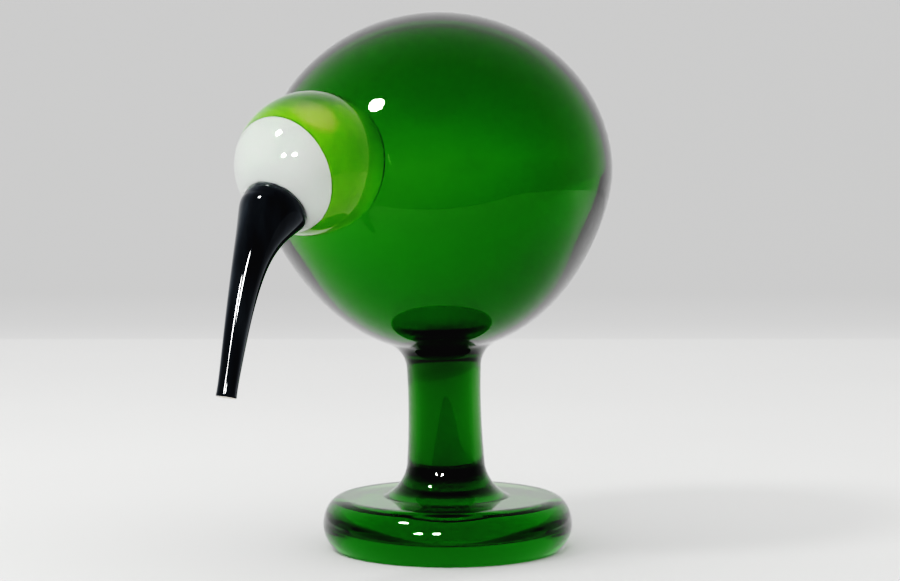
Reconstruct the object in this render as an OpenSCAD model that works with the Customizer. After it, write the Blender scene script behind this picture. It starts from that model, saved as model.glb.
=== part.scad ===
// Blown-glass long-billed bird on a stem and a disc foot.
// Millimetres, +Z up. The origin is the middle of the foot's ground face, and the bird faces -Y.

/* [Foot] */
// Widest radius of the foot
foot_r = 47.2; // [44:0.1:52]
// Height of the foot
foot_h = 19.4; // [17:0.1:22]
// Radius of the flat ground face that the bird stands on
ground_r = 43.4; // [40:0.1:43.8]
// Radius of the polished hollow in the middle of the ground face
hollow_r = 11; // [6:0.5:16]
// Depth of that hollow
hollow_depth = 1.2; // [0.5:0.1:2]

/* [Stem] */
// Radius of the stem at its waist
stem_r = 13.7; // [12:0.1:15]
// Radius of the flare that runs into the foot
toe_flare = 14; // [12:0.5:15]
// Radius of the flare that runs into the body
neck_flare = 12; // [9:0.5:13]
// Forward lean of the stem in degrees
stem_lean = 2.25; // [0:0.25:4]

/* [Body] */
// Radius of the body at its widest
body_r = 65.65; // [62:0.05:70]
// Height of the body's crown above its widest circle
crown_h = 60.6; // [56:0.1:64]
// Height of the body's centre above the ground
body_z = 140; // [138:0.5:144]
// How far the body's centre is in front of the foot's centre
body_forward = 7.2; // [4:0.1:9]
// Forward lean of the body and head in degrees
body_lean = 9.5; // [6:0.5:12]
// Mean wall thickness of the blown bubble
wall = 3; // [2.6:0.1:5]
// Thickness of the bubble's bottom, above the stem
bottom_wall = 6; // [5:0.5:12]
// How much thinner the bubble's wall is in front than the mean, and thicker behind
drift = 1.4; // [0:0.1:1.6]
// How much thicker the bubble's wall is at its crown than the mean
sag = 1.2; // [0:0.1:1.6]

/* [Head] */
// Radius of the head across the bird
head_r = 24.8; // [23:0.1:26]
// Half length of the head along the bird
head_reach = 27.9; // [26:0.1:29]
// How far the head's centre is in front of the foot's centre
head_forward = 81.4; // [80:0.1:84]
// Height of the head's centre above the ground
head_z = 143.8; // [142:0.1:146]
// Thickness of the clear casing over the head
casing = 1.8; // [1.2:0.1:3]
// Distance from the head's centre to the edge plane of the white face
face_edge = 14.4; // [12:0.1:17]
// Downward tilt of the white face in degrees
face_tilt = 16.4; // [10:0.2:24]
// Thickness of the white face layer
face_wall = 2.6; // [1.5:0.1:4]

/* [Beak] */
// Radius of the beak's cut tip
tip_r = 3.15; // [2.6:0.05:3.8]
// Radius of the beak's shaft where it leaves the face
shaft_r = 6.6; // [5.5:0.1:7.5]
// How much wider the beak's root is than its shaft
root_flare = 4.85; // [4:0.05:6]
// Length over which the root narrows to the shaft
root_length = 13; // [10:0.5:16]
// How far the tip is in front of the foot's centre
tip_forward = 125.8; // [122:0.1:129]
// Height of the tip above the ground
tip_z = 67.2; // [65:0.1:72]

/* [Hidden] */
step = 5;                      // angle between the points of a revolved outline
// foot
bevel = 0.9;                   // height of the small bevel round the ground face
bevel_r = ground_r + 1;        // radius at the top of that bevel
rim_z = 9;                     // height of the foot's widest circle
shoulder_r = foot_r - 7.8;     // where the foot's rounded rim meets its flat top
// stem
waist_z = 56;                  // height of the stem's waist
bow = 0.0017;                  // how fast the stem widens away from its waist
toe_centre = foot_h + 0.9 * toe_flare;  // height at which the lower flare begins
toe_turn = 80;                 // how far the lower flare turns, to below the foot's flat top
toe_sink = 1.5;                // how much further down the stem reaches before it's trimmed
flare_top = 79.3;              // height at which the upper flare would turn level
neck_turn = 50;                // how far the upper flare turns before it slopes into the body
neck_rise = 5;                 // height of that slope, before it's trimmed to the body
// body: its lower half departs from a ball by three powers of the sine
tuck = 0.48;
swell = 0.887;
close_in = 0.404;
dark_green = [0.03, 0.42, 0.05, 0.75];
stem_green = [0.06, 0.45, 0.07, 0.7];
lime = [0.38, 0.72, 0.08, 0.7];
// beak: the shaft's centre line is one curve, its ends given as forward and up
root = [100.6, 127.5];
root_dip = 31.4;               // downward angle in which the curve leaves the face
root_pull = 16.3;              // length of the curve's handle at the root
root_shift = [1.1, 0];         // how far the root itself lies off that curve
root_tilt = 52.8;              // downward angle the root's round end faces
root_blend = 14;               // length over which the shaft settles onto the curve
tip_lean = 13.9;               // forward lean of the shaft at its tip
tip_pull = 27.5;               // length of the curve's handle at the tip
root_inset = 7;                // how far the swept root starts inside the head
rings = 34;                    // stations along the beak
sides = 28;                    // sides of the beak's round section

function arc(from, to) = [for (i = [0 : abs(to - from) / step]) from + sign(to - from) * step * i];

module revolved(outline) {
    rotate_extrude($fn = 96) polygon(outline);
}

// --- foot -------------------------------------------------------------------------------------
function hollow_line() = [for (i = [0 : 6]) [hollow_r * i / 6, hollow_depth * (1 - pow(i / 6, 2))]];

// The lower side swells from the bevel to the rim, and the rim rounds over to the flat top
function foot_outline() = concat(
    hollow_line(),
    [for (a = arc(0, 90)) [ground_r + (bevel_r - ground_r) * sin(a), bevel * (1 - cos(a))]],
    [for (i = [1 : 10]) let (t = 1 - i / 10)
        [foot_r - (foot_r - bevel_r) * pow(t, 1.9), rim_z - (rim_z - bevel) * t]],
    [for (a = arc(5, 85)) [shoulder_r + (foot_r - shoulder_r) * cos(a), rim_z + (foot_h - rim_z) * sin(a)]],
    [[shoulder_r, foot_h], [0, foot_h]]);

module foot() {
    color(stem_green) revolved(foot_outline());
}

// --- stem -------------------------------------------------------------------------------------
function flare(radius, angle) = radius * (1 - cos(angle));
function stem_radius(z) = stem_r + bow * pow(z - waist_z, 2);

toe_z = toe_centre - toe_flare * sin(toe_turn);
toe_r = stem_radius(toe_z) + flare(toe_flare, toe_turn);
neck_from = flare_top - neck_flare;
neck_z = flare_top - neck_flare * (1 - sin(neck_turn));
neck_r = stem_radius(neck_z) + flare(neck_flare, neck_turn);

function stem_outline() = concat(
    [[0, toe_z - toe_sink], [toe_r, toe_z - toe_sink]],
    [for (a = arc(toe_turn, 0)) let (z = toe_centre - toe_flare * sin(a))
        [stem_radius(z) + flare(toe_flare, a), z]],
    [for (i = [1 : 6]) let (z = toe_centre + (neck_from - toe_centre) * i / 7) [stem_radius(z), z]],
    [for (a = arc(0, neck_turn)) let (z = flare_top - neck_flare * (1 - sin(a)))
        [stem_radius(z) + flare(neck_flare, a), z]],
    [[neck_r + neck_rise * tan(neck_turn), neck_z + neck_rise], [0, neck_z + neck_rise]]);

module stem() {
    color(stem_green) difference() {
        rotate([stem_lean, 0, 0]) revolved(stem_outline());
        body_place() revolved(body_outline());
        translate([0, 0, -1]) cylinder(h = foot_h + 1, r = foot_r, $fn = 96);
    }
}

// --- body -------------------------------------------------------------------------------------
module body_place() {
    translate([0, -body_forward, body_z]) rotate([body_lean, 0, 0]) children();
}

function belly(s) = 1 - tuck * pow(s, 2) + swell * pow(s, 3) - close_in * pow(s, 4);

// The bubble's outline, with its skin moved inwards by side and, at the bottom, by base
function bubble_outline(side, base) = concat(
    [for (a = arc(90, 0)) [(body_r - side) * cos(a), (crown_h - side) * sin(a)]],
    [for (a = arc(5, 90)) let (s = sin(a), r = body_r * belly(s) - side
        - (base - side) * (1 - pow(1 - s, 2)))
        [r * cos(a), -r * s]]);

function body_outline() = bubble_outline(0, 0);

module body_shell() {
    color(dark_green) body_place() difference() {
        revolved(body_outline());
        translate([0, -drift, -sag]) revolved(bubble_outline(wall, bottom_wall));
    }
}

// --- head -------------------------------------------------------------------------------------
module head_place() {
    translate([0, -head_forward, head_z]) rotate([body_lean, 0, 0]) children();
}

// The head's ball, shrunk by inset, its long axis along the bird
module head_ball(inset) {
    head_place() rotate([90, 0, 0]) revolved([for (a = arc(-90, 90))
        [(head_r - inset) * cos(a), (head_reach - inset) * sin(a)]]);
}

// Everything in front of the white face's edge plane
module face_side() {
    translate([0, -head_forward, head_z]) rotate([90 + face_tilt, 0, 0])
        translate([0, 0, face_edge]) cylinder(h = 2 * head_r, r = 2 * head_r, $fn = 48);
}

module head_core() {
    color(lime) difference() {
        head_ball(casing);
        body_place() revolved(body_outline());
        face_cap_blank();
    }
}

module face_cap_blank() {
    intersection() {
        difference() {
            head_ball(casing);
            head_ball(casing + face_wall);
        }
        face_side();
    }
}

module face_cap() {
    color([0.9, 0.93, 0.9]) face_cap_blank();
}

module head_casing() {
    color([0.9, 0.96, 0.92, 0.35]) difference() {
        head_ball(0);
        head_ball(casing);
        body_place() revolved(body_outline());
    }
}

// --- beak -------------------------------------------------------------------------------------
tip = [tip_forward, tip_z];
root_handle = root + root_pull * [cos(root_dip), -sin(root_dip)];
tip_handle = tip + tip_pull * [-sin(tip_lean), cos(tip_lean)];
inset_root = root + root_shift - root_inset * [cos(root_tilt), -sin(root_tilt)];

function bezier(u) = pow(1 - u, 3) * root + 3 * pow(1 - u, 2) * u * root_handle
    + 3 * (1 - u) * u * u * tip_handle + pow(u, 3) * tip;
function slope(u) = 3 * pow(1 - u, 2) * (root_handle - root) + 6 * (1 - u) * u * (tip_handle - root_handle)
    + 3 * u * u * (tip - tip_handle);
beak_length = norm(root_handle - root) / 2 + norm(tip_handle - root_handle) + norm(tip - tip_handle) / 2;

// Radius of the beak at u: straight taper, flared root and a slight lip at the cut tip
function beak_radius(u) = tip_r + (shaft_r - tip_r) * (1 - u)
    + root_flare * exp(-pow(u * beak_length / root_length, 1.5)) + 0.35 * pow(u, 24);

// 1 at the root, falling to 0 where the shaft has settled onto its curve
function settle(u) = let (t = min(1, u * beak_length / root_blend)) 1 - t * t * (3 - 2 * t);
function centre(u) = bezier(u) + settle(u) * root_shift;
function heading(u) = let (d = slope(u), a = settle(u) * root_tilt + (1 - settle(u)) * atan2(-d[1], d[0]))
    [cos(a), -sin(a)];

function beak_ring(c, d, r) = [for (i = [0 : sides - 1]) let (a = 360 * i / sides)
    [r * cos(a), -c[0] + r * sin(a) * d[1], c[1] + r * sin(a) * d[0]]];

// One skin through a stack of rings, each with the same number of points, closed at both ends
module skin(stack) {
    n = len(stack[0]);
    m = len(stack);
    points = [for (ring = stack) each ring];
    walls = [for (k = [0 : m - 2], i = [0 : n - 1])
        [k * n + i, k * n + (i + 1) % n, (k + 1) * n + (i + 1) % n, (k + 1) * n + i]];
    polyhedron(points, concat([[for (i = [n - 1 : -1 : 0]) i]], walls,
        [[for (i = [0 : n - 1]) (m - 1) * n + i]]));
}

module beak() {
    color([0.03, 0.03, 0.035]) difference() {
        skin(concat([beak_ring(inset_root, heading(0), beak_radius(0) - 2.2)],
            [for (k = [0 : rings - 1]) let (u = k / (rings - 1))
                beak_ring(centre(u), heading(u), beak_radius(u))]));
        head_ball(0);
    }
}

foot();
stem();
body_shell();
head_core();
face_cap();
head_casing();
beak();
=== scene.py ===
"""The looks of the blown-glass bird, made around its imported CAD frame.

Metres, +Z up, origin in the middle of the foot's ground face, the bird faces -Y.
Shapes are worked out in millimetres, as the CAD source is, and scaled when a mesh is made.
"""

import math

import bpy
from mathutils import Matrix, Vector

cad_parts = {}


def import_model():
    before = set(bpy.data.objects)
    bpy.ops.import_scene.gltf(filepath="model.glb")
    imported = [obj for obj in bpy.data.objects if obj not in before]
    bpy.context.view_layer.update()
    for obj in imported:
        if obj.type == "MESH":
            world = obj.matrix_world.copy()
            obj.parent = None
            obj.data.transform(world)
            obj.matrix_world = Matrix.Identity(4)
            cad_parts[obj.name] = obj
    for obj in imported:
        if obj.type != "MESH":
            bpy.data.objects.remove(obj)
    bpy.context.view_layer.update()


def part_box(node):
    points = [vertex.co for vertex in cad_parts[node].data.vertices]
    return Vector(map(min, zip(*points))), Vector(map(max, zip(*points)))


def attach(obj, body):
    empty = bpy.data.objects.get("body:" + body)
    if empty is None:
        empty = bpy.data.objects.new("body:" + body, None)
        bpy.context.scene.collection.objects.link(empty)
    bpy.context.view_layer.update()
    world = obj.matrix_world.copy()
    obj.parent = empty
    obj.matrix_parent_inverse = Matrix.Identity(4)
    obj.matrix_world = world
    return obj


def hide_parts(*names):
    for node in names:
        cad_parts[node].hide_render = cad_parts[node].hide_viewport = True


MM = 0.001
AROUND = 224                       # segments round each glass piece
OVERLAP = 0.3                      # how far fused glass pieces reach into each other, mm

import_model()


def half_width(node):
    """Half of a CAD node's width across the bird, in millimetres."""
    lo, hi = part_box(node)
    return ((hi / MM).x - (lo / MM).x) / 2


# ---------------------------------------------------------------------------------------------
# Sizes: measured from the CAD boxes where a box gives them, else the CAD source's own numbers
# ---------------------------------------------------------------------------------------------
FOOT_R = half_width("foot")
FOOT_H = 19.4
GROUND_R, BEVEL = 43.4, 0.9
LOW_R = GROUND_R + 1.0             # where the lower side starts, at the top of the ground edge
UNDERCUT_CURVE = 1.9               # power of the lower side's curve, from its rim inwards
RIM_Z = 9.0
SHOULDER_R = FOOT_R - 7.8
HOLLOW_R, HOLLOW_DEPTH = 11.0, 1.2

STEM_R, STEM_WAIST_Z, STEM_BOW = 13.7, 56.0, 0.0017
STEM_LEAN = math.radians(2.25)
NECK_FROM = 62.0                   # height above which the stem's neck is shaped to the body
NECK_Z = 68.0                      # the neck's flare starts from the stem's radius at this height
NECK_LOW, NECK_HIGH = 60, 74       # heights between which the flare's centre is looked for
NECK_IN, NECK_OUT = 9, 2           # how far in and out of that centre the body's skin is looked for
SKIN_ABOVE = 30                    # and how far above it
NECK_SAMPLES = 16                  # directions in which the neck is solved
TOE_FLARE, NECK_FLARE_R = 14.0, 10.4
TOE_CENTRE = FOOT_H + 0.9 * TOE_FLARE     # height of the lower flare's centre, where the shaft starts

BODY_R = half_width("body_shell")
CROWN_H = 60.6
BELLY = (0.48, 0.887, 0.404)       # the lower half's narrowing, by powers 2 to 4 of the sine below
BODY_AT = Vector((0, -7.2, 140.0))
BODY_LEAN = math.radians(9.5)
WALL, BOTTOM_WALL = 3.0, 6.0
DRIFT, SAG = 1.4, 1.2              # how far the air inside lies forward and down of the middle

HEAD_AT = Vector((0, -81.4, 143.8))
HEAD_R = half_width("head_casing")
HEAD_REACH = 27.9
HEAD_BACK = math.radians(60), math.radians(170)     # the head meets the body between these angles
CASING, FACE_WALL = 1.8, 2.6
CORE_GAP = 0.15                    # casing glass between the lime core and the body
FACE_EDGE, FACE_TILT = 14.4, math.radians(16.4)
FACE_AHEAD = Vector((0, -math.cos(FACE_TILT), -math.sin(FACE_TILT)))
FACE_SINK = 0.02                   # how far the white face lies below the lime core's outer skin
FACE_OVERLAP, FACE_STEP = 0.1, 0.6     # how far the core reaches into the face, and its step's width
FACE_EDGE_SHARE, FACE_EDGE_PULL = 0.55, 0.012     # the face's rounded edge, in thickness and angle
SEED_AT, SEED_R = Vector((23.04, -76.25, 147.53)), 0.65
LIGHT_PATCH_AT = Vector((10.5, -93.5, 158.2))     # painted light in the lime core, over the face: a yellow patch where the white face's light shows through the lime glass
LIGHT_PATCH_SIZE = Vector((14.0, 6.5, 7.5))

BEAK_ROOT, BEAK_TIP = Vector((100.6, 127.5)), Vector((125.8, 67.2))
BEAK_ROOT_DIP, BEAK_ROOT_PULL = math.radians(31.4), 16.3
BEAK_TIP_LEAN, BEAK_TIP_PULL = math.radians(13.9), 27.5
TIP_R, SHAFT_R, ROOT_FLARE, ROOT_LENGTH = 3.15, 6.6, 4.85, 13.0
FLARE_POWER = 1.5
TIP_SWELL, SWELL_POWER = 0.35, 24  # a slight widening at the very end
TIP_EDGE = 0.35                    # rounding of the ground end
ROOT_SHIFT, ROOT_TILT, ROOT_BLEND = Vector((1.1, 0.0)), math.radians(52.8), 14.0
ROOT_INSET, ROOT_NARROWING = 7.0, 2.2     # the part of the root that is hidden in the head
BEAK_AROUND = 96


# ---------------------------------------------------------------------------------------------
# Meshes
# ---------------------------------------------------------------------------------------------
def ease(t):
    """0 to 1 with level ends."""
    t = min(max(t, 0.0), 1.0)
    return t * t * (3 - 2 * t)


def steps(a, b, n):
    """n + 1 values from a to b."""
    return [a + (b - a) * i / n for i in range(n + 1)]


def put(name, data):
    """A new object in the scene."""
    o = bpy.data.objects.new(name, data)
    bpy.context.scene.collection.objects.link(o)
    return o


class Skin:
    """Vertices and faces of one piece, gathered in millimetres."""

    def __init__(self):
        self.points, self.faces, self.zones = [], [], []

    def rings(self, rings, start=None, end=None, zone=0, flip=False):
        """A skin through rings of points. start and end are points that close it."""
        base, n = len(self.points), len(rings[0])
        for ring in rings:
            self.points.extend(ring)
        faces = []
        for k in range(len(rings) - 1):
            a, b = base + k * n, base + (k + 1) * n
            faces += [(a + i, a + (i + 1) % n, b + (i + 1) % n, b + i) for i in range(n)]
        if start is not None:
            self.points.append(start)
            tip = len(self.points) - 1
            faces += [(tip, base + (i + 1) % n, base + i) for i in range(n)]
        if end is not None:
            self.points.append(end)
            tip, last = len(self.points) - 1, base + (len(rings) - 1) * n
            faces += [(tip, last + i, last + (i + 1) % n) for i in range(n)]
        self.faces += [f[::-1] for f in faces] if flip else faces
        self.zones += [zone] * len(faces)

    def piece(self, name, materials, sharp_deg):
        """The finished object, riding on the frame's only body."""
        mesh = bpy.data.meshes.new(name)
        mesh.from_pydata([tuple(c * MM for c in p) for p in self.points], [], self.faces)
        for material in materials:
            mesh.materials.append(material)
        mesh.polygons.foreach_set("material_index", self.zones)
        mesh.polygons.foreach_set("use_smooth", [True] * len(self.faces))
        mesh.validate()
        mesh.update()
        mesh.set_sharp_from_angle(angle=math.radians(sharp_deg))
        o = put(name, mesh)
        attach(o, "root")
        return o


def ring_angles(n=AROUND):
    """The angles of a ring's points."""
    return [2 * math.pi * i / n for i in range(n)]


def circle(n=AROUND):
    """Unit circle directions in XY."""
    return [(math.cos(a), math.sin(a)) for a in ring_angles(n)]


def lathe_rings(profile, place):
    """Rings for an outline of (radius, height), each point put in place by place(x, y, z)."""
    dirs = circle()
    return [[place(r * c, r * s, z) for c, s in dirs] for r, z in profile]


def lean(angle, at):
    """Puts a point of a piece that leans forward by angle about at."""
    turn = Matrix.Rotation(angle, 3, "X")
    return lambda x, y, z: at + turn @ Vector((x, y, z))


on_body = lean(BODY_LEAN, BODY_AT)
on_head = lean(BODY_LEAN, HEAD_AT)
to_body = Matrix.Rotation(-BODY_LEAN, 3, "X")


# --- foot --------------------------------------------------------------------------------------
def foot_profile():
    """The foot's outline from the middle of the ground face to the middle of its top."""
    quarter = math.pi / 2
    hollow = [(HOLLOW_R * t, HOLLOW_DEPTH * (1 - t * t)) for t in steps(0.02, 1, 14)]
    ground = [(r, 0.0) for r in steps(HOLLOW_R + 0.4, GROUND_R, 12)]
    edge = [(GROUND_R + (LOW_R - GROUND_R) * math.sin(a), BEVEL * (1 - math.cos(a)))
            for a in steps(0.1, quarter, 8)]
    side = [(FOOT_R - (FOOT_R - LOW_R) * ((RIM_Z - z) / (RIM_Z - BEVEL)) ** UNDERCUT_CURVE, z)
            for z in steps(BEVEL, RIM_Z, 24)[1:]]
    shoulder = [(SHOULDER_R + (FOOT_R - SHOULDER_R) * math.cos(a),
                 RIM_Z + (FOOT_H - RIM_Z) * math.sin(a)) for a in steps(0.03, quarter, 48)]
    top = [(r, FOOT_H) for r in steps(SHOULDER_R - 0.6, 1, 24)]
    return hollow + ground + edge + side + shoulder + top


def make_foot(material):
    skin = Skin()
    rings = lathe_rings(foot_profile(), lambda x, y, z: Vector((x, y, z)))
    skin.rings(rings, start=Vector((0, 0, HOLLOW_DEPTH)), end=Vector((0, 0, FOOT_H)))
    foot = skin.piece("foot_glass", [material], sharp_deg=40)
    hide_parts("foot")
    return foot


# --- stem and neck: one column whose flares run level into the foot and the body's skin --------
def stem_radius(z):
    return STEM_R + STEM_BOW * (z - STEM_WAIST_Z) ** 2


def stem_place(c, s, r, z):
    """A point at radius r and height z of the stem's own axis, in direction (c, s)."""
    return Vector((r * c, r * s - z * math.tan(STEM_LEAN), z))


def toe_rings(count=30):
    """Rings up the lower flare, from just inside the foot to where the shaft begins."""
    start = math.asin((TOE_CENTRE - FOOT_H) / TOE_FLARE)
    foot_ring = stem_radius(FOOT_H) + TOE_FLARE * (1 - math.cos(start))
    dirs = circle()
    rings = [[stem_place(c, s, foot_ring, FOOT_H - OVERLAP) for c, s in dirs]]
    for a in steps(start, 0, count):
        z = TOE_CENTRE - TOE_FLARE * math.sin(a)
        r = stem_radius(z) + TOE_FLARE * (1 - math.cos(a))
        rings.append([stem_place(c, s, r, z) for c, s in dirs])
    return rings


def make_stem(material):
    """One column from inside the foot to inside the body's skin, whose curve its top follows."""
    neck = neck_rings()
    top = [onto_body(p, -OVERLAP) for p in neck[-1]]
    middle = sum(top, Vector()) / len(top)
    cap = [[onto_body(p.lerp(middle, t), -OVERLAP) for p in top] for t in steps(0, 1, 10)[1:-1]]
    shaft = [[stem_place(c, s, stem_radius(z), z) for c, s in circle()]
             for z in steps(TOE_CENTRE + 1, NECK_FROM - 1, 34)]
    rings = toe_rings() + shaft + neck + [top] + cap
    skin = Skin()
    skin.rings(rings, start=Vector((0, -FOOT_H * math.tan(STEM_LEAN), FOOT_H - OVERLAP)),
               end=onto_body(middle, -OVERLAP))
    stem = skin.piece("stem_glass", [material], sharp_deg=40)
    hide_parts("stem")
    return stem


# --- body --------------------------------------------------------------------------------------
def belly(s):
    """The lower half's radius, as a share of the widest, at sine s below the widest circle."""
    return 1 - BELLY[0] * s ** 2 + BELLY[1] * s ** 3 - BELLY[2] * s ** 4


def bottom_share(s):
    """How much of the bottom's extra thickness is there at sine s below the widest circle."""
    return 1 - (1 - s) ** 2


def bubble_point(a, side=0.0, base=0.0):
    """(radius, height) of the bubble at angle a above its widest circle.

    Its skin lies side further in, and base further in at the bottom.
    """
    if a >= 0:
        return (BODY_R - side) * math.cos(a), (CROWN_H - side) * math.sin(a)
    s = -math.sin(a)
    r = BODY_R * belly(s) - side - (base - side) * bottom_share(s)
    return r * math.cos(a), -r * s


def bubble_radius(direction):
    """Distance from the body's centre to its skin along a direction in the body's own frame."""
    d = direction.normalized()
    if d.z >= 0:
        return 1 / math.hypot(math.hypot(d.x, d.y) / BODY_R, d.z / CROWN_H)
    return BODY_R * belly(-d.z)


def height_over_body(p):
    """How far a point is outside the body's skin, measured from the body's centre."""
    q = to_body @ (p - BODY_AT)
    return q.length - bubble_radius(q)


def onto_body(p, proud):
    """A point moved along the line from the body's centre to be proud of its skin."""
    q = to_body @ (p - BODY_AT)
    return on_body(*(q.normalized() * (bubble_radius(q) + proud)))


def solve(f, a, b, tries=40):
    """Where f changes sign between a and b."""
    fa = f(a)
    for _ in range(tries):
        m = (a + b) / 2
        fm = f(m)
        if (fm > 0) == (fa > 0):
            a, fa = m, fm
        else:
            b = m
    return (a + b) / 2


def nearest_skin(c, s, centre_r, z, count, tries):
    """The body's skin nearest to a flare's centre, as (distance, radius, height)."""
    spots = []
    for r in steps(centre_r - NECK_IN, centre_r + NECK_OUT, count):
        h = solve(lambda v: height_over_body(stem_place(c, s, r, v)), z, z + SKIN_ABOVE, tries)
        spots.append((math.hypot(r - centre_r, h - z), r, h))
    return min(spots)


def neck_column(c, s):
    """The neck's flare in one direction: its centre's height and radius, and how far it turns."""
    centre_r = stem_radius(NECK_Z) + NECK_FLARE_R
    z = solve(lambda v: nearest_skin(c, s, centre_r, v, 22, 18)[0] - NECK_FLARE_R,
              NECK_LOW, NECK_HIGH, 16)
    _, r, h = nearest_skin(c, s, centre_r, z, 44, 24)
    return z, centre_r, math.atan2(h - z, centre_r - r)


def harmonics(values, a):
    """A smooth reading at angle a of values spaced evenly round a turn, by two harmonics."""
    n = len(values)
    total = sum(values) / n
    for h in (1, 2):
        even = sum(v * math.cos(h * 2 * math.pi * j / n) for j, v in enumerate(values)) * 2 / n
        odd = sum(v * math.sin(h * 2 * math.pi * j / n) for j, v in enumerate(values)) * 2 / n
        total += even * math.cos(h * a) + odd * math.sin(h * a)
    return total


def neck_rings(count=24):
    """Rings from the stem to the body's skin."""
    solved = list(zip(*[neck_column(c, s) for c, s in circle(NECK_SAMPLES)]))
    dirs = circle()
    columns = [[harmonics(values, a) for values in solved] for a in ring_angles()]
    rings = [[stem_place(c, s, stem_radius(NECK_FROM), NECK_FROM) for c, s in dirs]]
    for k in range(count + 1):
        ring = []
        for (c, s), (z, centre_r, turn) in zip(dirs, columns):
            a = turn * k / count
            up = z + NECK_FLARE_R * math.sin(a)
            r = centre_r - NECK_FLARE_R * math.cos(a)
            r += (stem_radius(up) - stem_radius(NECK_Z)) * (1 - k / count)
            ring.append(stem_place(c, s, r, up))
        rings.append(ring)
    return rings


def make_body(material):
    """The bubble's outer skin, and inside it the skin of the air, which faces the other way."""
    def on_air(x, y, z):
        return on_body(x, y - DRIFT, z - SAG)

    down = -math.pi / 2
    outer = [bubble_point(math.radians(a)) for a in steps(-89.4, 89.4, 190)]
    inner = [bubble_point(math.radians(a), WALL, BOTTOM_WALL) for a in steps(-89.2, 89.2, 150)]
    skin = Skin()
    skin.rings(lathe_rings(outer, on_body), start=on_body(0, 0, bubble_point(down)[1]),
               end=on_body(0, 0, CROWN_H))
    skin.rings(lathe_rings(inner, on_air), start=on_air(0, 0, bubble_point(down, WALL, BOTTOM_WALL)[1]),
               end=on_air(0, 0, CROWN_H - WALL), flip=True)
    body = skin.piece("body_glass", [material], sharp_deg=50)
    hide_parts("body_shell")
    return body


# --- head --------------------------------------------------------------------------------------
def head_point(a, turn, inset):
    """A point on the head's ball: a is the angle from the forward tip, turn the angle round it."""
    r = (HEAD_R - inset) * math.sin(a)
    return on_head(r * math.cos(turn), -(HEAD_REACH - inset) * math.cos(a), r * math.sin(turn))


def face_height(p):
    """How far a point is in front of the white face's edge plane."""
    return (p - HEAD_AT).dot(FACE_AHEAD) - FACE_EDGE


def head_skin(skin, inset, proud, count=72, back=14):
    """The head's ball from its forward tip to the body, and its back, proud of the body's skin.

    inset(a, turn) is how far the skin lies inside the head's outline.
    """
    turns = ring_angles()
    ends = [solve(lambda a: height_over_body(head_point(a, t, inset(a, t))) - proud, *HEAD_BACK)
            for t in turns]
    rings = []
    for k in range(1, count + 1):
        rings.append([head_point(e * k / count, t, inset(e * k / count, t))
                      for e, t in zip(ends, turns)])
    rim = rings[-1]
    middle = sum(rim, Vector()) / len(rim)
    for k in range(1, back):
        rings.append([onto_body(p.lerp(middle, k / back), proud) for p in rim])
    tip = head_point(0, 0, inset(0, 0))
    skin.rings(rings, start=tip, end=onto_body(middle, proud), flip=True)


def seed_bubble(skin, at, radius, n=16):
    """A round air bubble inside the glass."""
    rings = []
    for a in steps(-80, 80, 8):
        z = math.sin(math.radians(a)) * radius
        r = math.cos(math.radians(a)) * radius
        rings.append([at + Vector((r * c, r * s, z)) for c, s in circle(n)])
    skin.rings(rings, start=at - Vector((0, 0, radius)), end=at + Vector((0, 0, radius)), flip=True)


def make_casing(material):
    """The head's clear glass, all through, with the core and face set inside it."""
    skin = Skin()
    head_skin(skin, lambda a, t: 0.0, -OVERLAP)
    seed_bubble(skin, SEED_AT, SEED_R)
    casing = skin.piece("head_casing_glass", [material], sharp_deg=40)
    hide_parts("head_casing")
    return casing


def make_core(material):
    """The lime heart, which steps in under the white face."""
    def inset(a, turn):
        depth = face_height(head_point(a, turn, CASING))
        return CASING + (FACE_WALL - FACE_OVERLAP) * ease((depth + FACE_STEP / 2) / FACE_STEP)

    skin = Skin()
    head_skin(skin, inset, CORE_GAP, count=110)
    core = skin.piece("head_core_glass", [material], sharp_deg=60)
    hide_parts("head_core")
    return core


def make_face(material):
    """The white face: an outer and an inner skin that meet in a rounded edge."""
    across = Vector((1, 0, 0))
    up = across.cross(FACE_AHEAD)

    def ray(a, turn):
        """Direction at angle a from straight ahead, in turn round it."""
        side = across * math.cos(turn) + up * math.sin(turn)
        return FACE_AHEAD * math.cos(a) + side * math.sin(a)

    def skin_point(direction, inset):
        """A point of the head's outline, moved inwards, along a direction from its middle."""
        q = to_body @ direction
        k = math.sqrt((q.x ** 2 + q.z ** 2) / (HEAD_R - inset) ** 2
                      + q.y ** 2 / (HEAD_REACH - inset) ** 2)
        return HEAD_AT + direction / k

    turns = ring_angles()
    ends = [solve(lambda a: face_height(skin_point(ray(a, t), CASING)), 0.1, 2.0) for t in turns]
    outside = CASING + FACE_SINK

    def face_ring(share, depth):
        """A ring at a share of the way out to the edge, at a depth below the face's outside."""
        return [skin_point(ray(e * share, t), outside + depth) for e, t in zip(ends, turns)]

    count, edge_count = 48, 5
    rings = [face_ring(k / count, 0) for k in range(1, count + 1)]
    for k in range(1, edge_count + 1):
        w = k / edge_count
        rings.append(face_ring(1 - FACE_EDGE_PULL * w, FACE_WALL * FACE_EDGE_SHARE * w ** 0.7))
    for k in range(1, count):
        deepening = FACE_EDGE_SHARE + (1 - FACE_EDGE_SHARE) * ease(k / count * 2)
        rings.append(face_ring((1 - FACE_EDGE_PULL) * (1 - k / count), FACE_WALL * deepening))
    skin = Skin()
    skin.rings(rings, start=skin_point(FACE_AHEAD, outside),
               end=skin_point(FACE_AHEAD, outside + FACE_WALL))
    face = skin.piece("face_opal", [material], sharp_deg=60)
    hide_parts("face_cap")
    return face


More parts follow.
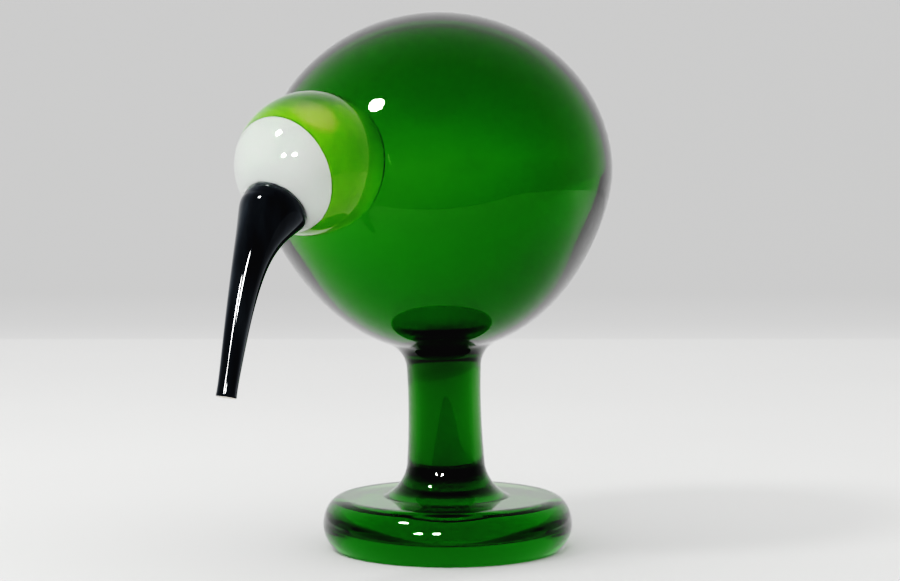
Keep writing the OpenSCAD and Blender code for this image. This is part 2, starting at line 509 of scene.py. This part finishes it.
# --- beak --------------------------------------------------------------------------------------
def beak_curve():
    """The centre line's handles as (forward, up)."""
    along_root = Vector((math.cos(BEAK_ROOT_DIP), -math.sin(BEAK_ROOT_DIP)))
    along_tip = Vector((-math.sin(BEAK_TIP_LEAN), math.cos(BEAK_TIP_LEAN)))
    return (BEAK_ROOT, BEAK_ROOT + BEAK_ROOT_PULL * along_root,
            BEAK_TIP + BEAK_TIP_PULL * along_tip, BEAK_TIP)


def bezier(u):
    """The centre line's point and heading at u."""
    a, b, c, d = beak_curve()
    v = 1 - u
    at = a * v ** 3 + b * (3 * v * v * u) + c * (3 * v * u * u) + d * u ** 3
    slope = (b - a) * (3 * v * v) + (c - b) * (6 * v * u) + (d - c) * (3 * u * u)
    return at, slope.normalized()


def beak_length():
    """About how long the centre line is."""
    a, b, c, d = beak_curve()
    return (b - a).length / 2 + (c - b).length + (d - c).length / 2


def beak_radius(u):
    flare = ROOT_FLARE * math.exp(-((u * beak_length() / ROOT_LENGTH) ** FLARE_POWER))
    return TIP_R + (SHAFT_R - TIP_R) * (1 - u) + flare + TIP_SWELL * u ** SWELL_POWER


def beak_station(u):
    """Centre and heading of the beak at u, its root set square to the face."""
    at, slope = bezier(u)
    at_root = 1 - ease(u * beak_length() / ROOT_BLEND)
    dip = at_root * ROOT_TILT + (1 - at_root) * math.atan2(-slope[1], slope[0])
    return at + ROOT_SHIFT * at_root, Vector((math.cos(dip), -math.sin(dip)))


def make_beak(black, ground):
    """The swept beak: its root hidden in the head, its shaft, its rounded edge and its flat end."""
    dirs = circle(BEAK_AROUND)

    def ring(centre, slope, r):
        return [Vector((r * c, -centre[0] + r * s * slope[1], centre[1] + r * s * slope[0]))
                for c, s in dirs]

    start, slope = beak_station(0)
    rings = [ring(start - slope * ROOT_INSET * k, slope, beak_radius(0) - ROOT_NARROWING * k ** 2)
             for k in steps(1, 0.1, 9)]
    hidden = start - slope * ROOT_INSET
    rings += [ring(*beak_station(u), beak_radius(u)) for u in steps(0, 0.985, 150)]
    end, slope = bezier(1)
    for a in steps(0.2, math.pi / 2, 6):
        rings.append(ring(end - slope * TIP_EDGE * (1 - math.sin(a)), slope,
                          beak_radius(1) - TIP_EDGE * (1 - math.cos(a))))
    flat_end = [ring(end, slope, (beak_radius(1) - TIP_EDGE) * k) for k in (1.0, 0.7, 0.4, 0.1)]
    skin = Skin()
    skin.rings(rings, start=Vector((0, -hidden[0], hidden[1])))
    skin.rings(flat_end, end=Vector((0, -end[0], end[1])), zone=1)
    beak = skin.piece("beak_glass", [black, ground], sharp_deg=50)
    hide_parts("beak")
    return beak


# ---------------------------------------------------------------------------------------------
# Materials
# ---------------------------------------------------------------------------------------------
def material(name, **sockets):
    """A node material with one Principled shader. Returns the material, its tree and the shader."""
    m = bpy.data.materials.new(name)
    m.use_nodes = True
    tree = m.node_tree
    shader = tree.nodes["Principled BSDF"]
    for socket, value in sockets.items():
        shader.inputs[socket.replace("_", " ")].default_value = value
    return m, tree, shader


def noise(tree, scale, detail, stretch=(1, 1, 1)):
    """Noise over the object's own coordinates, in metres."""
    coords = tree.nodes.new("ShaderNodeTexCoord")
    mapping = tree.nodes.new("ShaderNodeMapping")
    mapping.inputs["Scale"].default_value = stretch
    texture = tree.nodes.new("ShaderNodeTexNoise")
    texture.inputs["Scale"].default_value = scale
    texture.inputs["Detail"].default_value = detail
    tree.links.new(coords.outputs["Object"], mapping.inputs["Vector"])
    tree.links.new(mapping.outputs["Vector"], texture.inputs["Vector"])
    return texture.outputs["Fac"]


def ramp(tree, source, stops):
    """A colour ramp over a 0 to 1 value: stops are (position, colour)."""
    node = tree.nodes.new("ShaderNodeValToRGB")
    elements = node.color_ramp.elements
    while len(elements) < len(stops):
        elements.new(0.5)
    for element, (position, colour) in zip(elements, stops):
        element.position = position
        element.color = (*colour, 1)
    tree.links.new(source, node.inputs["Fac"])
    return node.outputs["Color"]


def grey_ramp(tree, source, stops):
    """A ramp of greys: stops are (position, tone)."""
    return ramp(tree, source, [(position, [tone] * 3) for position, tone in stops])


def along(tree, direction, start, end):
    """How far a point of the object is from start to end along a direction, 0 to 1."""
    coords = tree.nodes.new("ShaderNodeTexCoord")
    dot = tree.nodes.new("ShaderNodeVectorMath")
    dot.operation = "DOT_PRODUCT"
    dot.inputs[1].default_value = tuple(direction)
    tree.links.new(coords.outputs["Object"], dot.inputs[0])
    spread = tree.nodes.new("ShaderNodeMapRange")
    spread.inputs["From Min"].default_value = start
    spread.inputs["From Max"].default_value = end
    tree.links.new(dot.outputs["Value"], spread.inputs["Value"])
    return spread.outputs["Result"]


def ripple(tree, shader, source, strength, distance):
    """Bumps the shader's surface by a value."""
    bump = tree.nodes.new("ShaderNodeBump")
    bump.inputs["Strength"].default_value = strength
    bump.inputs["Distance"].default_value = distance
    tree.links.new(source, bump.inputs["Height"])
    tree.links.new(bump.outputs["Normal"], shader.inputs["Normal"])


def absorb(tree, per_mm):
    """Plain absorption that takes per_mm (red, green, blue) of the light in each millimetre."""
    density = max(per_mm) * 1.02
    volume = tree.nodes.new("ShaderNodeVolumeAbsorption")
    volume.inputs["Color"].default_value = (*[1 - a / density for a in per_mm], 1)
    volume.inputs["Density"].default_value = density / MM
    output = next(n for n in tree.nodes if n.type == "OUTPUT_MATERIAL")
    tree.links.new(volume.outputs["Volume"], output.inputs["Volume"])


def polished_glass(name):
    """Clear glass with a faintly uneven fire polish."""
    m, tree, shader = material(name, Base_Color=(1, 1, 1, 1), IOR=1.5, Transmission_Weight=1.0)
    haze = grey_ramp(tree, noise(tree, 60, 3), [(0.35, 0.0), (0.75, 0.02)])
    tree.links.new(haze, shader.inputs["Roughness"])
    return m, tree, shader


def green_glass(name, per_mm):
    """Glass tinted by its depth, whose surface waves a little."""
    m, tree, shader = polished_glass(name)
    ripple(tree, shader, noise(tree, 18, 1), 0.02, 0.002)
    absorb(tree, per_mm)
    return m


def opal():
    """White opal glass, seen through its clear casing: soft, with faint cloudy variation."""
    m, tree, shader = material("opal_white", Roughness=0.9, IOR=1.45, Specular_IOR_Level=0.0)
    # the faint green in these whites is painted light from the green glass around the face
    cloud = ramp(tree, noise(tree, 90, 4), [(0.3, (0.815, 0.89, 0.83)), (0.7, (0.875, 0.915, 0.87))])
    tree.links.new(cloud, shader.inputs["Base Color"])
    shader.inputs["Subsurface Weight"].default_value = 0.35
    shader.inputs["Subsurface Radius"].default_value = (0.8, 1.0, 0.8)
    shader.inputs["Subsurface Scale"].default_value = 0.002
    return m


def distance_from(tree, place, size):
    """How far a point of the object is from a place in metres, as a share of size."""
    coords = tree.nodes.new("ShaderNodeTexCoord")
    mapping = tree.nodes.new("ShaderNodeMapping")
    mapping.vector_type = "TEXTURE"
    mapping.inputs["Location"].default_value = tuple(place)
    mapping.inputs["Scale"].default_value = tuple(size)
    length = tree.nodes.new("ShaderNodeVectorMath")
    length.operation = "LENGTH"
    tree.links.new(coords.outputs["Object"], mapping.inputs["Vector"])
    tree.links.new(mapping.outputs["Vector"], length.inputs[0])
    return length.outputs["Value"]


def lime_glass():
    """Lime heart of the head, with light and shade painted in: a deeper green, painted lighter, towards
    the body, painted shade at the top, and a yellow patch of painted light over the face.
    """
    m, tree, shader = material("lime_core", Roughness=0.9, IOR=1.45, Specular_IOR_Level=0.0)
    ahead = Vector((0, -1, 0))
    middle = HEAD_AT.dot(ahead) * MM
    # painted light: a deeper green towards the body, painted lighter there against the key light's
    # fall-off
    base = ramp(tree, along(tree, ahead, middle - 0.022, middle + 0.022),
                [(0.0, (0.13, 0.54, 0.016)), (0.25, (0.17, 0.56, 0.022)), (0.62, (0.18, 0.50, 0.030))])
    # painted light: a yellow patch where the white face's light shows through the lime glass
    on_light_patch = grey_ramp(tree, distance_from(tree, LIGHT_PATCH_AT * MM, LIGHT_PATCH_SIZE * MM),
                         [(0.55, 1.0), (0.95, 0.0)])
    light_patched = tree.nodes.new("ShaderNodeMixRGB")
    light_patched.inputs["Color2"].default_value = (0.38, 0.54, 0.13, 1)
    tree.links.new(on_light_patch, light_patched.inputs["Fac"])
    tree.links.new(base, light_patched.inputs["Color1"])
    # painted shade: the lime is darkened towards the top of the head
    top_shaded = tree.nodes.new("ShaderNodeMixRGB")
    top_shaded.blend_type = "MULTIPLY"
    top_shaded.inputs["Fac"].default_value = 1.0
    painted_top_shade = ramp(tree, along(tree, (0, 0, 1), 0.150, 0.170),
                   [(0.5, (1, 1, 1)), (0.72, (0.38, 0.44, 1.0))])
    tree.links.new(light_patched.outputs["Color"], top_shaded.inputs["Color1"])
    tree.links.new(painted_top_shade, top_shaded.inputs["Color2"])
    tree.links.new(top_shaded.outputs["Color"], shader.inputs["Base Color"])
    shader.inputs["Subsurface Weight"].default_value = 0.3
    shader.inputs["Subsurface Radius"].default_value = (0.6, 1.0, 0.3)
    shader.inputs["Subsurface Scale"].default_value = 0.002
    return m


def black_glass():
    """Dense black glass with faint paler streaks up and down the beak."""
    m, tree, shader = material("black_glass", IOR=1.5)
    streak = noise(tree, 160, 3, stretch=(1, 1, 0.12))
    tone = ramp(tree, streak, [(0.38, (0.010, 0.013, 0.018)), (0.68, (0.030, 0.036, 0.042))])
    tree.links.new(tone, shader.inputs["Base Color"])
    polish = grey_ramp(tree, noise(tree, 70, 3), [(0.3, 0.015), (0.8, 0.05)])
    tree.links.new(polish, shader.inputs["Roughness"])
    ripple(tree, shader, noise(tree, 45, 1), 0.05, 0.001)
    return m


def ground_glass():
    """The beak's ground and polished end, where the dense glass shows pale gold."""
    m, tree, shader = material("ground_tip", IOR=1.5)
    tone = ramp(tree, noise(tree, 500, 4), [(0.3, (0.30, 0.24, 0.11)), (0.7, (0.45, 0.38, 0.22))])
    tree.links.new(tone, shader.inputs["Base Color"])
    grain = grey_ramp(tree, noise(tree, 900, 4), [(0.3, 0.15), (0.8, 0.35)])
    tree.links.new(grain, shader.inputs["Roughness"])
    return m


# ---------------------------------------------------------------------------------------------
# The bird
# ---------------------------------------------------------------------------------------------
BODY_TINT = (0.43, 0.173, 0.57)    # light taken per millimetre by the bubble's dense green glass
STEM_TINT = (0.17, 0.075, 0.21)    # the stem and foot are a paler melt
FOOT_TINT = (0.06, 0.0165, 0.075)

body_green = green_glass("bubble_green", BODY_TINT)
stem_green = green_glass("stem_green", STEM_TINT)
foot_green = green_glass("foot_green", FOOT_TINT)
clear, _, _ = polished_glass("clear_casing")
lime = lime_glass()

foot = make_foot(foot_green)
stem = make_stem(stem_green)
make_body(body_green)
casing = make_casing(clear)
core = make_core(lime)
make_face(opal())
beak = make_beak(black_glass(), ground_glass())
casing.visible_shadow = False      # so that light reaches the core and the face
core.visible_shadow = False


# ---------------------------------------------------------------------------------------------
# Stage, light and camera
# ---------------------------------------------------------------------------------------------
VIEW_AZIMUTH = math.radians(35)
RIGHT = Vector((math.cos(VIEW_AZIMUTH), math.sin(VIEW_AZIMUTH), 0))
AWAY = Vector((-math.sin(VIEW_AZIMUTH), math.cos(VIEW_AZIMUTH), 0))
UP = Vector((0, 0, 1))
CAMERA_BACK, CAMERA_HEIGHT, CAMERA_SIDE = 0.7521, 0.1350, 0.0008
CAMERA_PITCH = math.radians(2.9)
MIDDLE = 0.14                      # height that the lamps face and the rooms are set round
# the table's corners as (right, nearer)
TABLE_OUTLINE = [(-1.3, 0.42), (-0.42, 0.42), (-0.2, 0.355), (0, 0.33), (0.2, 0.35), (0.42, 0.41),
                 (0.62, 0.40), (0.85, 0.1), (0.92, -0.63), (0.95, -1.05), (-1.3, -1.05)]
WALL_AT, WALL_LOW, WALL_TOP, WALL_HALF = 1.9, -2, 1.3, 4.0
TABLE_GAP = 0.0001                 # air under the ground face
SEEN_PLAINLY = ("camera", "diffuse", "transmission", "shadow")

# lights, placed by (right, away, up)
HIGH_LAMP_AT, HIGH_LAMP_R = (-1.27, -0.91, 1.90), 0.2
SMALL_LAMPS = {"lamp_left": (-1.01, -1.955, 0.755), "lamp_near": (-0.39, -2.15, 0.81)}
SMALL_LAMP_R = 0.17
LAMP_STRENGTH, LAMP_SIDES = 60, 9
KEY_AT, KEY_AIM, KEY_SIZE, KEY_POWER = (-0.75, -0.53, 1.1), (0, 0, 0.1), 0.28, 4.9
WORLD_STRENGTH = 0.93

# tones by the angle from the camera's side, in degrees
DARK_ROOM = [(0, 0.03), (55, 0.08), (72, 0.16), (84, 0.26), (98, 0.43), (112, 0.57), (128, 0.66),
             (150, 0.72)]
PALE_ROOM = [(0, 0.6), (60, 0.5), (85, 0.26), (118, 0.28), (140, 0.46), (170, 0.52)]
# tones by the share of the way from nearest to farthest, which are metres beyond the bird
SHEEN = [(0.0, 0.34), (0.2, 0.40), (0.29, 0.66), (0.37, 0.9), (0.45, 0.88), (0.62, 0.76), (0.95, 0.62)]
SHEEN_NEAREST, SHEEN_FARTHEST = -0.4, 1.0
# scene tones and what the render shows them as
TONE_CURVE = [(0.03, 0.0042), (0.056, 0.0152), (0.104, 0.0782), (0.16, 0.1812), (0.30, 0.3813),
              (0.44, 0.54), (0.8, 0.8)]


def stage_place(right, away, up):
    return RIGHT * right + AWAY * away + UP * up


def only(o, kinds):
    """o is seen only by these kinds of ray."""
    for kind in ("camera", "diffuse", "glossy", "transmission", "volume_scatter", "shadow"):
        setattr(o, "visible_" + kind, kind in kinds)


def staged(name, points, faces, surface, seen_by):
    """A piece of the stage with one material, seen only by some kinds of ray."""
    mesh = bpy.data.meshes.new(name)
    mesh.from_pydata([tuple(p) for p in points], [], faces)
    mesh.materials.append(surface)
    o = put(name, mesh)
    only(o, seen_by)
    return o


def flat(name, corners, surface, seen_by):
    """A plane through corners given as (right, away, up)."""
    face = tuple(range(len(corners)))
    return staged(name, [stage_place(*c) for c in corners], [face], surface, seen_by)


def matte(name):
    return material(name, Roughness=0.9, Specular_IOR_Level=0.1)


def table_white():
    m, tree, shader = matte("pale_table")
    tone = ramp(tree, noise(tree, 3.0, 2), [(0.3, (0.80, 0.80, 0.797)), (0.7, (0.82, 0.82, 0.817))])
    tree.links.new(tone, shader.inputs["Base Color"])
    return m


def wall_paint():
    """The wall, a little paler where the table's light reaches its foot."""
    m, tree, shader = matte("pale_wall")
    tone = grey_ramp(tree, along(tree, UP, -0.07, 0.6),
                     [(0.0, 0.70), (0.04, 0.60), (0.1, 0.53), (1.0, 0.54)])
    tree.links.new(tone, shader.inputs["Base Color"])
    return m


def glow(name, **sockets):
    """A surface that gives light and reflects none. Returns what material() does."""
    return material(name, Base_Color=(0, 0, 0, 1), Specular_IOR_Level=0.0, **sockets)


def sheen():
    """The table as reflections see it: dim towards the camera, bright behind the bird."""
    m, tree, shader = glow("table_sheen", Emission_Strength=1.0)
    tone = grey_ramp(tree, along(tree, AWAY, SHEEN_NEAREST, SHEEN_FARTHEST), SHEEN)
    tree.links.new(tone, shader.inputs["Emission Color"])
    m.cycles.emission_sampling = "NONE"         # it is looked at, and lights nothing
    return m


def room_tone(name, stops, overhead, radius):
    """Tones by the angle from the camera's side, dimmed towards the top."""
    m, tree, shader = glow(name, Emission_Strength=1.0)
    places = [((1 - math.cos(math.radians(angle))) / 2, tone) for angle, tone in stops]
    tones = grey_ramp(tree, along(tree, AWAY, -radius, radius), places)
    tree.links.new(tones, shader.inputs["Emission Color"])
    dimmed = grey_ramp(tree, along(tree, UP, MIDDLE, MIDDLE + radius), [(0.2, 1.0), (0.8, overhead)])
    tree.links.new(dimmed, shader.inputs["Emission Strength"])
    m.cycles.emission_sampling = "NONE"         # as the sheen is
    return m


def room(name, stops, seen_by, overhead, radius, rows=48, columns=72):
    """A ball round the set for some kinds of ray, its poles towards and away from the camera."""
    points, faces = [], []
    for a in steps(0, math.pi, rows):
        for i in range(columns):
            t = 2 * math.pi * i / columns
            right, up = radius * (math.sin(a) * math.cos(t)), radius * (math.sin(a) * math.sin(t))
            points.append(stage_place(right, -radius * math.cos(a), up + MIDDLE))
    for k in range(rows):
        near, far = k * columns, (k + 1) * columns
        for i in range(columns):
            after = (i + 1) % columns
            faces.append((near + i, near + after, far + after, far + i))
    staged(name, points, faces, room_tone(name + "_tone", stops, overhead, radius), seen_by)


def lamp(name, place, radius):
    """A lit disc, turned to the bird, that only glossy surfaces see."""
    centre = stage_place(*place)
    facing = (Vector((0, 0, MIDDLE)) - centre).to_track_quat("Z", "Y")
    corners = [centre + facing @ Vector((radius * c, radius * s, 0)) for c, s in circle(LAMP_SIDES)]
    light, _, _ = glow(name + "_light", Emission_Color=(1, 0.99, 0.97, 1),
                       Emission_Strength=LAMP_STRENGTH)
    return staged(name, corners, [tuple(range(LAMP_SIDES))], light, ("glossy",))


def key_light():
    """A soft light from the upper left, which no reflection shows."""
    data = bpy.data.lights.new("key", "AREA")
    data.shape, data.size, data.energy = "DISK", KEY_SIZE, KEY_POWER
    o = put("key", data)
    o.location = stage_place(*KEY_AT)
    o.rotation_euler = (stage_place(*KEY_AIM) - o.location).to_track_quat("-Z", "Y").to_euler()
    o.visible_camera = False
    o.visible_glossy = False
    o.visible_transmission = False


def world():
    w = bpy.data.worlds.new("studio")
    bpy.context.scene.world = w
    w.use_nodes = True
    background = w.node_tree.nodes["Background"]
    background.inputs["Color"].default_value = (1, 1, 0.995, 1)
    background.inputs["Strength"].default_value = WORLD_STRENGTH


def camera():
    data = bpy.data.cameras.new("view")
    data.lens, data.sensor_width = 80, 36
    data.clip_start, data.clip_end = 0.01, 50
    o = put("view", data)
    o.location = stage_place(CAMERA_SIDE, -CAMERA_BACK, CAMERA_HEIGHT)
    ahead = AWAY * math.cos(CAMERA_PITCH) - UP * math.sin(CAMERA_PITCH)
    o.rotation_euler = ahead.to_track_quat("-Z", "Y").to_euler()
    bpy.context.scene.camera = o


def lamps():
    """Three lamps for highlights. The two small ones leave the body out, as the photo does."""
    lamp("lamp_high", HIGH_LAMP_AT, HIGH_LAMP_R)
    lit_by_small = bpy.data.collections.new("small_lamp_pieces")
    for piece in (foot, stem, casing, beak):
        lit_by_small.objects.link(piece)
    for name, place in SMALL_LAMPS.items():
        lamp(name, place, SMALL_LAMP_R).light_linking.receiver_collection = lit_by_small


def stage():
    """Table, wall and what stands in for the room, then the lights and the camera."""
    table = [(right, -nearer, -TABLE_GAP) for right, nearer in TABLE_OUTLINE]
    wall = [(-WALL_HALF, WALL_AT, WALL_LOW), (WALL_HALF, WALL_AT, WALL_LOW),
            (WALL_HALF, WALL_AT, WALL_TOP), (-WALL_HALF, WALL_AT, WALL_TOP)]
    flat("table", table, table_white(), SEEN_PLAINLY)
    flat("table_sheen", table, sheen(), ("glossy",))
    flat("wall", wall, wall_paint(), SEEN_PLAINLY)
    room("dark_room", DARK_ROOM, ("glossy",), overhead=1.0, radius=2.6)
    room("pale_room", PALE_ROOM, ("transmission",), overhead=0.2, radius=2.7)
    world()
    lamps()
    key_light()
    camera()


def render_settings():
    """Enough bounces for glass in glass, and the curve that gives the photo's deep greens."""
    scene = bpy.context.scene
    cycles = scene.cycles
    cycles.max_bounces = 32
    cycles.transmission_bounces = 28
    cycles.glossy_bounces = 12
    cycles.diffuse_bounces = 4
    cycles.sample_clamp_indirect = 6.0
    cycles.use_denoising = True
    cycles.denoising_input_passes = "RGB"      # guides drawn through thick glass would speckle it
    scene.view_settings.view_transform = "Standard"
    scene.view_settings.use_curve_mapping = True
    curves = scene.view_settings.curve_mapping
    curve = curves.curves[3]
    curve.points[0].location = (0, 0.002)
    for x, y in TONE_CURVE:
        curve.points.new(x, y)
    curves.update()


stage()
render_settings()
